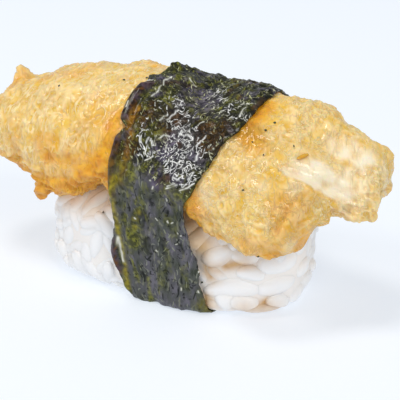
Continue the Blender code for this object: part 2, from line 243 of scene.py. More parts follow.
# Highlights painted white along wet creases over the top
NORI_CREASE_HIGHLIGHTS = (
    ((173, 78), (165, 80), (164, 84), (159, 91), (152, 97)), ((153, 80), (147, 81)),
    ((129, 103), (127, 109)), ((161, 123), (168, 116)), ((168, 122), (179, 112)),
    ((191, 80), (197, 88)), ((161, 140), (165, 136), (171, 138)), ((197, 147), (207, 139)),
    ((180, 135), (188, 136), (193, 141)), ((197, 161), (199, 154)), ((167, 189), (179, 185)),
    ((180, 191), (189, 188), (194, 184)), ((174, 178), (180, 181), (184, 176)),
    ((191, 180), (195, 173)), ((146, 161), (154, 157)), ((240, 116), (243, 110), (246, 109)),
    ((247, 105), (253, 105)), ((221, 157), (214, 150)), ((199, 128), (204, 122)),
)

# Rice grains that stand out on the front, as pixels: two ends, and the grain's width in mm
FRONT_GRAINS = (
    ((203, 289), (257, 287), 4.6), ((203, 262), (231, 252), 4.2), ((262, 291), (296, 282), 4.6),
    ((216, 302), (230, 304), 3.3), ((233, 306), (258, 305), 2.7), ((271, 303), (287, 302), 2.4),
    ((232, 260), (258, 256), 3.4), ((266, 268), (300, 262), 5.2), ((262, 275), (240, 270), 3),
    ((300, 276), (309, 262), 3.4), ((291, 301), (305, 291), 3.2), ((303, 286), (313, 274), 3),
)
SAUCE_AND_SHADE_SPOTS = {
    "beside_band": ((207, 267), (209, 276)),
    "crevice": ((226, 268), (238, 265), (247, 263)),
    "foot": ((203, 300), (209, 306)),
    "low_gap": ((266, 304), (279, 306)),
    # low_front: the front foot tinted warmer in the sauce colour
    "low_front": ((244, 309), (270, 309)),
    # shade and left_shade: painted warm shade beside the band and under the fillet's left part
    "shade": ((190, 216), (194, 232), (199, 247)),
    "left_shade": ((70, 203), (88, 206), (105, 206)),
}
SPECKS = ((58, 85), (124, 78), (145, 76), (266, 129), (252, 140), (262, 154), (295, 146),
          (275, 121), (241, 190), (226, 252), (259, 259), (279, 284), (105, 211), (203, 282))
SPECK_THICKNESS = 0.15
FLAKE_AT = (304, 156)
FLAKE_LENGTH, FLAKE_WIDTH, FLAKE_THICKNESS = 2.2, 0.65, 0.35


# ---------------- fields and profiles

def signed_power(value, exponent):
    return np.sign(value) * np.abs(value) ** exponent


def bell(value, centre, reach):
    """exp(-((value - centre) / reach)^2)."""
    return np.exp(-((value - centre) / reach) ** 2)


def ramp(value, low, high):
    """3t^2 - 2t^3, from 0 at low to 1 at high, whichever of the two is the larger."""
    t = np.clip((value - low) / (high - low), 0, 1)
    return t * t * (3 - 2 * t)


def unit(vectors):
    """The vectors divided by their lengths."""
    return vectors / np.maximum(np.linalg.norm(vectors, axis=-1, keepdims=True), 1e-9)


def lattice_hash(ix, iy, iz, seed):
    """One repeatable integer for each lattice point."""
    h = (ix * 73856093) ^ (iy * 19349663) ^ (iz * 83492791) ^ (seed * 2654435)
    h &= 0x7FFFFFFF
    h = (((h >> 13) ^ h) * 1274126177) & 0x7FFFFFFF
    h = (((h >> 15) ^ h) * 668265263) & 0x7FFFFFFF
    return (h >> 14) ^ h


def noise(points, length, seed):
    """Gradient noise between about -1 and 1, with features about `length` apart."""
    scaled = points / length
    cell = np.floor(scaled).astype(np.int64)
    inside = scaled - cell
    weight = inside ** 3 * (inside * (inside * 6 - 15) + 10)
    total = np.zeros(points.shape[:-1])
    for corner in np.ndindex(2, 2, 2):
        h = lattice_hash(*(cell[..., axis] + corner[axis] for axis in range(3)), seed)
        turn = (h & 1023) / 1023 * 2 * PI
        rise = ((h >> 10) & 1023) / 1023 * 2 - 1
        flat = np.sqrt(1 - rise * rise)
        offset = inside - np.array(corner)
        slope = flat * np.cos(turn) * offset[..., 0] + flat * np.sin(turn) * offset[..., 1]
        slope += rise * offset[..., 2]
        total += slope * np.where(np.array(corner) == 1, weight, 1 - weight).prod(axis=-1)
    return total * 1.5


def worms(points, length, seed, width):
    """Thin curling ridges: a bell of the noise round its zero lines, so 0 to 1."""
    return bell(noise(points, length, seed), 0, width)


def domes(points, length, seed):
    """Blisters: 1 - (distance to the nearest scattered centre / 0.6 cell)^2, never below 0."""
    scaled = points / length
    cell = np.floor(scaled).astype(np.int64)
    nearest = np.full(points.shape[:-1], 9)
    for corner in np.ndindex(3, 3, 3):
        near = [cell[..., axis] + corner[axis] - 1 for axis in range(3)]
        h = lattice_hash(*near, seed)
        shift = [(h & 1023) / 1023, ((h >> 10) & 1023) / 1023, ((h >> 20) & 255) / 255]
        away = sum((near[axis] + shift[axis] - scaled[..., axis]) ** 2 for axis in range(3))
        nearest = np.minimum(nearest, away)
    return np.clip(1 - nearest / 0.36, 0, 1)


def swirled(points, length, strength, seed):
    """The points, each pushed by three noises, so that a pattern on them curls."""
    push = np.stack([noise(points, length, seed + axis) for axis in range(3)], axis=-1)
    return points + strength * push


def outward_normals(points, centre):
    """Unit cross products of the steps along a (wrapped, open) grid, turned away from a centre."""
    normals = unit(np.cross(np.roll(points, -1, 0) - np.roll(points, 1, 0), np.gradient(points, axis=1)))
    return normals * np.sign(np.median((normals * (points - centre)).sum(axis=-1)))


def nearest_on_path(points, path):
    """The distance to a polyline, and its nearest point: the closest of its segments' feet."""
    best = np.full(points.shape[:-1], 1e9)
    foot = np.zeros(points.shape)
    for start, end in zip(path[:-1], path[1:]):
        leg = end - start
        share = np.clip(((points - start) @ leg) / (leg @ leg), 0, 1)
        place = start + share[..., None] * leg
        away = np.linalg.norm(points - place, axis=-1)
        closer = away < best
        best = np.where(closer, away, best)
        foot = np.where(closer[..., None], place, foot)
    return best, foot


def near(points, path, reach):
    """exp(-(distance to the path / reach)^2)."""
    return bell(nearest_on_path(points, path)[0], 0, reach)


def spots(points, places, reach):
    """exp(-(distance to the nearest of some places / reach)^2)."""
    away = np.min([np.linalg.norm(points - place, axis=-1) for place in places], axis=0)
    return bell(away, 0, reach)


def at_marks(points, mark, *rows):
    """The sum of share * near, over rows of a mark's name, its share and its reach."""
    return sum(share * near(points, mark[name], reach) for name, share, reach in rows)


def laid_flat(points):
    """A (first, second) grid laid flat: x, and the length walked along the second direction."""
    steps = np.linalg.norm(np.diff(points, axis=1, prepend=points[:, :1]), axis=-1)
    return np.stack([points[..., 0], np.cumsum(steps, axis=1), 0 * steps], axis=-1) * MM


# ---------------- camera and pixels

def camera_axes():
    """The camera's right, up and back directions for its azimuth and elevation."""
    back = np.array([np.sin(CAMERA_AZIMUTH) * np.cos(CAMERA_ELEVATION),
                     -np.cos(CAMERA_AZIMUTH) * np.cos(CAMERA_ELEVATION),
                     np.sin(CAMERA_ELEVATION)])
    right = np.array([np.cos(CAMERA_AZIMUTH), np.sin(CAMERA_AZIMUTH), 0])
    return right, np.cross(back, right), back


def camera_place():
    return CAMERA_TARGET + camera_axes()[2] * CAMERA_DISTANCE


def pixel_ray(pixel):
    """Unit direction from the camera through a pixel of the photograph."""
    right, up, back = camera_axes()
    across, down = (np.array(pixel) - IMAGE_SIDE / 2) / (CAMERA_LENS / SENSOR_WIDTH * IMAGE_SIDE)
    return unit(across * right - down * up - back)


def seen_at(points, pixel, slack=0.4):
    """Index of the surface point nearest the camera along a pixel's ray."""
    offset = points - camera_place()
    ray = pixel_ray(pixel)
    depth = offset @ ray
    aside = np.linalg.norm(offset - depth[:, None] * ray, axis=1)
    return int(np.argmin(np.where(aside < slack, depth, 1e6) + aside))


def seen_path(surface, pixels):
    """The surface points that lie behind a list of pixels."""
    points = surface.reshape(-1, 3)
    return np.array([points[seen_at(points, pixel)] for pixel in pixels])


def seen_marks(surface, table):
    return {name: seen_path(surface, pixels) for name, pixels in table.items()}


def near_any(points, surface, paths, reach):
    """The greatest `near` of several paths, given as pixels seen on a surface."""
    return np.max([near(points, seen_path(surface, path), reach) for path in paths], axis=0)


# ---------------- meshes

def grid_quads(first, second, wrap_second=False):
    """Vertex numbers of the quads of a first x second grid, wrapped along its first direction."""
    i = np.arange(first)[:, None]
    j = np.arange(second if wrap_second else second - 1)[None, :]
    i_next, j_next = (i + 1) % first, (j + 1) % second
    corners = [i * second + j, i_next * second + j, i_next * second + j_next, i * second + j_next]
    return np.stack([corner.ravel() for corner in corners], axis=-1)


def closed_faces(sides, rings):
    """The quads of a (sides, rings) grid, and the triangles from its end rings to its two poles."""
    side = np.arange(sides)
    following = (side + 1) % sides
    first = np.full_like(side, sides * rings)
    low = np.stack([following * rings, side * rings, first], axis=-1)
    high = np.stack([(side + 1) * rings - 1, (following + 1) * rings - 1, first + 1], axis=-1)
    return grid_quads(sides, rings), np.concatenate([low, high])


def with_poles(grid):
    """The values of a (sides, rings) grid in one list, then the means of its two end rings."""
    ends = [grid[:, 0].mean(axis=0), grid[:, -1].mean(axis=0)]
    return np.concatenate([grid.reshape(-1, *grid.shape[2:]), ends])


def make_mesh(name, points, quads, triangles=(), **attributes):
    """A smooth mesh from arrays of points (in mm), quads, triangles and point attributes."""
    mesh = bpy.data.meshes.new(name)
    mesh.vertices.add(len(points))
    mesh.vertices.foreach_set("co", (points * MM).astype(np.float32).ravel())
    corners = np.concatenate([np.ravel(quads), np.ravel(triangles)]).astype(np.int32)
    mesh.loops.add(len(corners))
    mesh.loops.foreach_set("vertex_index", corners)
    sizes = np.repeat((4, 3), (len(quads), len(triangles)))
    mesh.polygons.add(len(sizes))
    mesh.polygons.foreach_set("loop_start", (np.cumsum(sizes) - sizes).astype(np.int32))
    mesh.update(calc_edges=True)
    mesh.validate()
    mesh.shade_smooth()
    for key, values in attributes.items():
        kind, field = ('FLOAT_VECTOR', "vector") if values.ndim == 2 else ('FLOAT', "value")
        data = mesh.attributes.new(key, kind, 'POINT').data
        data.foreach_set(field, values.astype(np.float32).ravel())
    piece = bpy.data.objects.new(name, mesh)
    bpy.context.scene.collection.objects.link(piece)
    return piece


# ---------------- material nodes

class Finish:
    """A Principled material put together node by node, with lengths in millimetres."""

    def __init__(self, name):
        self.material = bpy.data.materials.new(name)
        self.material.use_nodes = True
        self.tree = self.material.node_tree
        self.shader = self.tree.nodes["Principled BSDF"]
        self.place = self.node("TexCoord", "Object")

    def link(self, value, socket):
        if isinstance(value, bpy.types.NodeSocket):
            self.tree.links.new(value, socket)
        elif isinstance(value, tuple):
            socket.default_value = (*value, 1)[:len(socket.default_value)]
        else:
            socket.default_value = value

    def node(self, kind, output, inputs={}, **settings):
        """One output of a new node with these settings and inputs, by name or number."""
        node = self.tree.nodes.new("ShaderNode" + kind)
        for key, value in settings.items():
            setattr(node, key, value)
        for key, value in inputs.items():
            self.link(value, node.inputs[key])
        return node.outputs[output]

    def set(self, **inputs):
        for key, value in inputs.items():
            self.link(value, self.shader.inputs[key.replace("_", " ")])

    def attributes(self, *names):
        return [self.node("Attribute", "Fac", attribute_name=name) for name in names]

    def stretched(self, x, y, z):
        """Object coordinates scaled along each axis."""
        return self.node("Mapping", "Vector", {"Vector": self.place, "Scale": (x, y, z)})

    def noise(self, length, detail=2, roughness=0.5, warp=0, place=None):
        """Blender's noise with features about `length` apart."""
        return self.node("TexNoise", "Fac", {
            "Vector": place or self.place, "Scale": 1 / (length * MM), "Detail": detail,
            "Roughness": roughness, "Distortion": warp})

    def patches(self, length, low, high, *how, **where):
        """The noise, with low..high spread to 0..1."""
        return self.span(self.noise(length, *how, **where), low, high)

    def curls(self, length, width, warp=0.7, detail=1, place=None):
        """Thin curling lines, 1 on the line: where the noise crosses its middle value."""
        level = self.math('SUBTRACT', self.noise(length, detail, 0.5, warp, place), 0.5)
        return self.falling(level, 0.3 * width, width)

    def math(self, operation, first, second=0):
        return self.node("Math", 0, {0: first, 1: second}, operation=operation)

    def times(self, *values):
        return reduce(lambda first, second: self.math('MULTIPLY', first, second), values)

    def most(self, *values):
        return reduce(lambda first, second: self.math('MAXIMUM', first, second), values)

    def vector(self, operation, first, second=(0, 0, 0)):
        output = "Value" if operation == 'DOT_PRODUCT' else "Vector"
        return self.node("VectorMath", output, {0: first, 1: second}, operation=operation)

    def span(self, value, low, high, to_low=0, to_high=1):
        """Map low..high to to_low..to_high, clamped."""
        return self.node("MapRange", "Result", {
            "Value": value, "From Min": low, "From Max": high, "To Min": to_low, "To Max": to_high})

    def falling(self, value, low, high):
        """1 where the value's size is under low, 0 where it is over high."""
        return self.span(self.math('ABSOLUTE', value), low, high, 1, 0)

    def mix(self, share, first, second, amount=1):
        """The first colour with share * amount of the second."""
        if amount != 1:
            share = self.times(share, amount)
        return self.node("Mix", 2, {0: share, 6: first, 7: second}, data_type='RGBA')

    def bump(self, height, depth, strength=1, below=None):
        inputs = {"Strength": strength, "Distance": depth * MM, "Height": height}
        if below:
            inputs["Normal"] = below
        return self.node("Bump", "Normal", inputs)

    def strokes(self, shift, cell, width, bend, lean, chance):
        """Short bent strokes on the surface laid flat: 1 on a stroke's line.

        Each Voronoi cell has a random heading, leaning along the walked direction.  With run along
        it and aside across it, the stroke lies where aside = bend * random * run^2, nearly as long
        as its cell, and it is there if a random number is below chance.
        """
        upright = (0, 0, 1)
        laid = self.node("Attribute", "Vector", attribute_name="laid")
        place = self.vector('ADD', laid, (shift, shift, 0))
        colour = self.node("TexVoronoi", "Color", {"Vector": place, "Scale": 1 / (cell * MM)},
                           voronoi_dimensions='2D')
        random = self.vector('SUBTRACT', colour, (0.5, 0.5, 0))
        local = self.vector('SUBTRACT', place, colour.node.outputs["Position"])
        local = self.vector('MULTIPLY', local, (1 / MM, 1 / MM, 0))
        heading = self.vector('NORMALIZE', self.vector('MULTIPLY', random, (1, lean, 0)))
        run = self.vector('DOT_PRODUCT', local, heading)
        aside = self.vector('DOT_PRODUCT', local, self.vector('CROSS_PRODUCT', heading, upright))
        third = self.vector('DOT_PRODUCT', random, upright)
        turn = self.math('SUBTRACT', self.math('FRACT', self.times(third, 7.3)), 0.5)
        off = self.math('SUBTRACT', aside, self.times(turn, 2 * bend, run, run))
        line = self.falling(off, 0.2 * width, 0.55 * width)
        end = self.falling(run, 0.3 * cell, 0.48 * cell)
        return self.times(line, end, self.math('LESS_THAN', third, chance))


def batter_finish():
    """Golden fried batter: pale curling threads over amber hollows, whitish where it is thin; the threads
    and ridge tops are painted paler, partly as highlights.
    """
    look = Finish("fried_batter")
    pale, amber, ridge, left, tan = look.attributes("pale", "amber", "ridge", "left", "tan")
    hung = look.curls(1.15, 0.08, 0.5, place=look.stretched(1, 0.45, 0.45))
    free = look.times(look.curls(1.1, 0.06, 1.3), look.math('SUBTRACT', 1, left))
    curl_highlight = look.math('ADD', look.times(hung, left), free)
    curl_highlight = look.times(curl_highlight, look.patches(2.6, 0.4, 0.56))
    for shift, cell in ((0, 1.1), (0.017, 1.5)):
        curl_highlight = look.most(curl_highlight, look.strokes(shift, cell, 0.16, 2.5, 1, 0.6))
    curl_highlight = look.times(curl_highlight, look.span(pale, 0.2, 0.8, 1, 0.25))
    cloud = look.times(look.patches(1.4, 0.48, 0.62, 2, 0.6, 0.5), 0.6)
    # ridges, curls and strokes painted paler: partly pale batter, partly painted highlights
    light = look.most(look.times(ridge, 0.8), cloud, curl_highlight)
    tone = look.mix(look.patches(3.2, 0.38, 0.62, 3), (0.73, 0.395, 0.012), (0.83, 0.505, 0.05))
    tone = look.mix(light, tone, (0.99, 0.78, 0.43), 0.88)
    deep = look.mix(look.patches(1.8, 0.35, 0.65), (0.7, 0.25, 0.001), (0.86, 0.41, 0.012))
    deep = look.mix(light, deep, (0.96, 0.58, 0.14), 0.2)
    tone = look.mix(amber, tone, deep, 0.95)
    tone = look.mix(tan, tone, (0.53, 0.27, 0.02))
    tone = look.mix(pale, tone, (0.96, 0.85, 0.65))
    normal = look.bump(look.noise(0.7), 0.08, 0.5, look.bump(curl_highlight, 0.11))
    look.set(Base_Color=tone, Roughness=look.span(look.noise(0.9), 0.3, 0.7, 0.3, 0.5), Normal=normal)
    look.set(Subsurface_Weight=0.25, Subsurface_Radius=(1, 0.5, 0.15), Subsurface_Scale=1 * MM)
    look.set(Coat_Weight=0.38, Coat_Roughness=0.08, IOR=1.35, Specular_IOR_Level=0.3)
    return look.material


def nori_finish():
    """Moist nori: slate and purple-black, olive veins, amber thin parts, bright wet crinkles."""
    look = Finish("moist_nori")
    olive, brown, purple, amber, hem, crinkle, gleam, crest, dots, pits = look.attributes(
        "olive", "brown", "purple", "amber", "hem", "crinkle", "gleam", "crest", "dots", "pits")
    hung = look.stretched(1, 0.5, 0.5)

    # Hanging part: slate in patches, partly painted sheen, with light strokes along the sheet, partly
    # painted highlights, and dark strokes and small hollows painted near-black, partly painted shade
    patch = look.patches(2.4, 0.4, 0.6, 3, place=hung)
    slate = look.mix(patch, (0.03, 0.036, 0.022), (0.135, 0.126, 0.15))
    other = look.mix(patch, (0.12, 0.125, 0.11), (0.02, 0.024, 0.022))
    slate = look.mix(look.patches(0.75, 0.45, 0.55, 3, 0.65, 0.4, hung), slate, other, 0.5)
    slate = look.mix(look.strokes(0.005, 2.1, 0.38, 0.5, 4, 0.5), slate, (0.24, 0.24, 0.16), 0.5)
    slate = look.mix(look.strokes(0.011, 1.2, 0.2, 0.9, 4, 0.3), slate, (0.27, 0.28, 0.22), 0.75)
    dark = look.most(look.strokes(0.023, 1.7, 0.36, 0.7, 4, 0.35), pits)
    slate = look.mix(dark, slate, (0.003, 0.005, 0.003), 0.95)
    slate = look.mix(look.strokes(0.051, 0.9, 0.26, 0.5, 3, 0.2), slate, (0.003, 0.004, 0.002), 0.9)
    light = look.times(look.strokes(0.037, 1.1, 0.2, 0.5, 3, 0.3), look.patches(2.2, 0.5, 0.62, 1))
    slate = look.mix(light, slate, (0.32, 0.34, 0.2), 0.7)

    # Crinkled part: black and olive, painted darker round the painted highlights, painted paler grey
    # sheen where they are densest, and painted purple sheen patches
    black = look.mix(look.patches(1.4, 0.42, 0.6), (0.006, 0.006, 0.001), (0.055, 0.055, 0.006))
    black = look.mix(look.patches(1.1, 0.56, 0.66, 1), black, (0.15, 0.15, 0.014))
    black = look.mix(look.span(gleam, 0.2, 0.7, 0, 0.7), black, (0.004, 0.005, 0.003))
    black = look.mix(look.span(gleam, 0.75, 1, 0, 0.5), black, (0.16, 0.15, 0.17))
    painted_purple_sheen = look.patches(2.3, 0.56, 0.66)
    black = look.mix(painted_purple_sheen, black, (0.13, 0.118, 0.165), 0.8)
    tone = look.mix(crinkle, slate, black)

    # Coloured places, the purple ones painted purple sheen; painted shade in the low places between
    # crinkles and in the creases, with darker random patches
    tone = look.mix(purple, tone, look.mix(look.noise(1.2), (0.06, 0.05, 0.08), (0.24, 0.2, 0.3)))
    tone = look.mix(brown, tone, look.mix(look.noise(0.9), (0.018, 0.008, 0.001), (0.13, 0.056, 0.007)))
    vein = look.times(olive, look.patches(1.7, 0.42, 0.56, 2, 0.5, 0.5, hung))
    green = look.mix(look.patches(0.7, 0.42, 0.6), (0.05, 0.052, 0.005), (0.2, 0.2, 0.022))
    tone = look.mix(vein, tone, green, 0.85)
    dark_and_hollow_shade = look.times(look.span(crest, 0.05, 0.4, 0.65, 0), crinkle)
    dark_and_hollow_shade = look.most(look.patches(0.75, 0.38, 0.32, 2, 0.6, 0.3), dark_and_hollow_shade)
    tone = look.mix(dark_and_hollow_shade, tone, (0.002, 0.002, 0.002), 0.85)
    crease = look.times(look.curls(1.6, 0.09, 0.9, 2), crinkle)
    tone = look.mix(crease, tone, (0.002, 0.003, 0.002), 0.7)
    # rolled hems: dark, with lighter purple patches that are partly painted sheen, and brown patches
    rolled = look.mix(look.patches(1.3, 0.42, 0.58), (0.012, 0.004, 0.003), (0.085, 0.05, 0.066))
    rolled = look.mix(look.patches(1.7, 0.52, 0.62, 2, 0.5, 0.4), rolled, (0.13, 0.048, 0.006))
    tone = look.mix(hem, tone, rolled)
    grain = look.patches(0.9, 0.35, 0.65)
    thin = look.mix(crinkle, look.mix(grain, (0.14, 0.11, 0.003), (0.42, 0.34, 0.02)),
                    look.mix(grain, (0.16, 0.06, 0.001), (0.64, 0.31, 0.022)))
    tone = look.mix(amber, tone, thin)

    # Painted highlights: curled strokes on the crinkles, in clumps, white where the painted gleam is and
    # olive elsewhere, laid over the painted glints
    clump = look.span(look.noise(1.5), 0.43, 0.55, 0.12, 1)
    clump = look.most(clump, look.span(gleam, 0.3, 0.8, 0, 0.95))
    often = look.times(
        crinkle, clump, look.span(painted_purple_sheen, 0, 1, 1, 0.45), look.span(gleam, 0.1, 0.6, 0.5, 0.95),
        look.span(hem, 0, 0.5, 1, 0.1), look.span(brown, 0.1, 0.8, 1, 0.35))
    faint = look.span(look.noise(0.7, 1), 0.36, 0.52, 0.3, 1)
    curl_highlight = dots
    for shift, cell, width in ((0, 0.95, 0.2), (0.017, 1.4, 0.21), (0.031, 0.8, 0.18),
                               (0.043, 2.1, 0.19)):
        curl_highlight = look.most(curl_highlight, look.times(look.strokes(shift, cell, width, 2.2, 1.5, often), faint))
    bright = look.mix(look.patches(1.2, 0.42, 0.6), (0.17, 0.17, 0.02), (0.62, 0.62, 0.36))
    bright = look.mix(look.most(look.span(gleam, 0.2, 0.6), dots), bright, (1, 0.99, 0.95))
    tone = look.mix(curl_highlight, tone, bright)

    normal = look.bump(look.noise(1.1, 3), 0.3, 0.6)
    normal = look.bump(look.math('SUBTRACT', 1, crease), 0.2, 0.8, normal)
    normal = look.bump(curl_highlight, 0.15, 0.7, normal)
    look.set(Base_Color=tone, Roughness=look.span(crinkle, 0, 1, 0.45, 0.3), Normal=normal)
    look.set(Specular_IOR_Level=0.12, Coat_Weight=0.3, Coat_Roughness=0.08, Coat_IOR=1.45)
    return look.material


def rice_finish(name, dim, bright):
    """Cooked rice: translucent white, faintly warm, moist, with amber sauce in its gaps, and painted warm
    shade where the shade mask is.
    """
    look = Finish(name)
    sauce, shade = look.attributes("sauce", "shade")
    # painted warm shade where the shade mask is
    tone = look.mix(shade, look.mix(look.noise(2), dim, bright), (1, 0.62, 0.25))
    tone = look.mix(sauce, tone, look.mix(look.noise(0.8), (0.48, 0.2, 0.02), (0.8, 0.5, 0.16)))
    look.set(Base_Color=tone, Roughness=0.35, Normal=look.bump(look.noise(1.2), 0.1, 0.5))
    look.set(Subsurface_Weight=0.15, Subsurface_Radius=(1, 0.9, 0.8), Subsurface_Scale=0.8 * MM)
    look.set(Coat_Weight=0.15, Coat_Roughness=0.2, IOR=1.35)
    return look.material


def speck_finish():
    """Dried herb: dark green, a little lighter in places."""
    look = Finish("dried_herb")
    tone = look.mix(look.noise(0.3, 1), (0.016, 0.022, 0.012), (0.05, 0.06, 0.025))
    look.set(Base_Color=tone, Roughness=0.6, Normal=look.bump(look.noise(0.15, 1), 0.03, 0.5))
    return look.material


def flake_finish():
    """A loose amber flake of fried batter."""
    look = Finish("amber_flake")
    tone = look.mix(look.noise(0.5), (0.55, 0.24, 0.01), (0.8, 0.47, 0.06))
    look.set(Base_Color=tone, Roughness=0.25, Normal=look.bump(look.noise(0.3), 0.05, 0.6))
    look.set(Subsurface_Weight=0.3, Subsurface_Radius=(1, 0.5, 0.1), Subsurface_Scale=0.6 * MM)
    return look.material


# ---------------- rice

def rice_surface(sides, rings, grow):
    """Rings round Z from the foot to the crown, as an array (sides, rings, 3).

    The plan is a superellipse.  Its reach shrinks over a quarter ellipse at the foot and over a
    larger one at the crown, and noise along the outward direction makes the lumps.
    """
    turn = np.arange(sides) / sides * 2 * PI
    plan = np.stack([RICE_LENGTH / 2 * signed_power(np.cos(turn), 2 / RICE_SQUARENESS),
                     RICE_WIDTH / 2 * signed_power(np.sin(turn), 2 / RICE_SQUARENESS)], axis=-1)
    foot = np.linspace(0, PI / 2, rings // 4)
    side = np.linspace(0, 1, rings // 4 + 2)[1:-1]
    crown = np.linspace(0, PI / 2, rings - len(foot) - len(side))
    wall_low, wall_high = RICE_FOOT_REACH, RICE_HEIGHT - RICE_CROWN_REACH
    inset = np.concatenate([
        RICE_FOOT_REACH * (1 - np.sin(foot)), 0 * side, RICE_CROWN_REACH * (1 - np.cos(crown))])
    height = np.concatenate([
        RICE_FOOT_REACH * (1 - np.cos(foot)), wall_low + (wall_high - wall_low) * side,
        wall_high + RICE_CROWN_REACH * np.sin(crown)])
    reach = (1 - inset * 2 / RICE_WIDTH) * (1 + 0.03 * np.sin(PI * height / RICE_HEIGHT))
    points = np.empty((sides, rings, 3))
    points[..., :2] = (RICE_MIDDLE_X, 0) + plan[:, None] * reach[:, None]
    points[..., 2] = height
    outward = points * (2 / RICE_LENGTH, 2 / RICE_WIDTH, 0)
    outward[..., 2] = (height / RICE_HEIGHT) ** 3 * 0.8
    moved = points + unit(outward) * (grow + RICE_LUMP * noise(points, RICE_LUMP_LENGTH, 3))[..., None]
    lift = ramp(height, 0, 1.5)
    moved[..., 2] = points[..., 2] * (1 - lift) + moved[..., 2] * lift
    return moved


def grain_shape():
    """One plump grain along +X, 1 long and 1 wide: rings of an oval, with poles.

    reach = (1 - t^2)^0.4 for t from -1 to 1 along the grain.
    """
    t = np.sin(np.linspace(-PI / 2, PI / 2, GRAIN_RINGS + 2)[1:-1])
    turn = np.arange(GRAIN_SIDES) / GRAIN_SIDES * 2 * PI
    reach = (1 - t * t) ** 0.4
    rings = np.stack([
        np.broadcast_to(t * 0.52, (GRAIN_SIDES, GRAIN_RINGS)),
        np.cos(turn)[:, None] * reach * 0.54,
        np.sin(turn)[:, None] * reach * 0.5], axis=-1)
    points = with_poles(rings)
    points[-2:] = ((-0.54, 0, 0), (0.54, 0, 0))
    return points


def placed_grains(seats, axes, local):
    """Grains as (grains, points, 3): each one's own x, y and z along its three axes from its seat."""
    return seats[:, None] + sum(part[..., None] * axis[:, None] for part, axis in zip(local, axes))


def joined_grains(name, points, **attributes):
    """One mesh of all the grains of a (grains, points, 3) array."""
    offset = (np.arange(len(points)) * points.shape[1])[:, None, None]
    quads, triangles = (faces + offset for faces in closed_faces(GRAIN_SIDES, GRAIN_RINGS))
    return make_mesh(name, points.reshape(-1, 3), quads.reshape(-1, 4), triangles.reshape(-1, 3),
                     **attributes)


def front_grains(skin, normals):
    """Seats, directions, outward directions and sizes of the grains placed by pixel."""
    rows = []
    for start, end, width in FRONT_GRAINS:
        a, b = seen_path(skin, (start, end))
        middle = seen_at(skin, ((start[0] + end[0]) / 2, (start[1] + end[1]) / 2))
        length = np.linalg.norm(b - a)
        rows.append((skin[middle], (b - a) / length, normals[middle], (length + 1.2, width)))
    return [np.array(column) for column in zip(*rows)]


def scattered_grains(skin, normals, taken, chance):
    """The same for grains spread over the skin, none nearer than the spacing to another."""
    centres = taken.copy()
    picked = []
    for index in chance.permutation(len(skin)):
        if len(picked) >= GRAIN_COUNT:
            break
        if np.min(np.linalg.norm(centres - skin[index], axis=1)) >= GRAIN_SPACING:
            centres = np.vstack([centres, skin[index]])
            picked.append(index)
    outward = normals[picked]
    along = chance.normal(size=(len(picked), 3))
    flatness = chance.uniform(0.8, 1, (len(picked), 1))
    along -= (along * outward).sum(axis=1, keepdims=True) * outward * flatness
    size = chance.uniform(0.84, 1.1, (len(picked), 2)) * (GRAIN_LENGTH, GRAIN_WIDTH)
    return skin[picked], unit(along), outward, size


def front_foot(points):
    """How much the loaf's foot spreads: a bell along X, on the front half."""
    return bell(points[..., 0], *FOOT_SPREAD_AT) * (points[..., 1] < 0)


def held_in(points):
    """The points' x and y, drawn in to GRAIN_LIMIT outside the loaf's outline at their height."""
    foot = np.clip(1 - points[..., 2] / RICE_FOOT_REACH, 0, 1)
    crown = np.clip((points[..., 2] - RICE_HEIGHT) / RICE_CROWN_REACH + 1, 0, 1)
    inset = RICE_FOOT_REACH * (1 - FOOT_OPENED * front_foot(points)) * (1 - np.sqrt(1 - foot ** 2))
    inset = inset + RICE_CROWN_REACH * (1 - np.sqrt(1 - crown ** 2))
    allowed = 1 + (GRAIN_LIMIT - inset) * 2 / RICE_WIDTH
    flat = points[..., :2] - (RICE_MIDDLE_X, 0)
    across = np.abs(flat / (RICE_LENGTH, RICE_WIDTH) * 2)
    reach = (across ** RICE_SQUARENESS).sum(axis=-1) ** (1 / RICE_SQUARENESS)
    return (RICE_MIDDLE_X, 0) + flat * np.minimum(1, allowed / np.maximum(reach, 1e-3))[..., None]


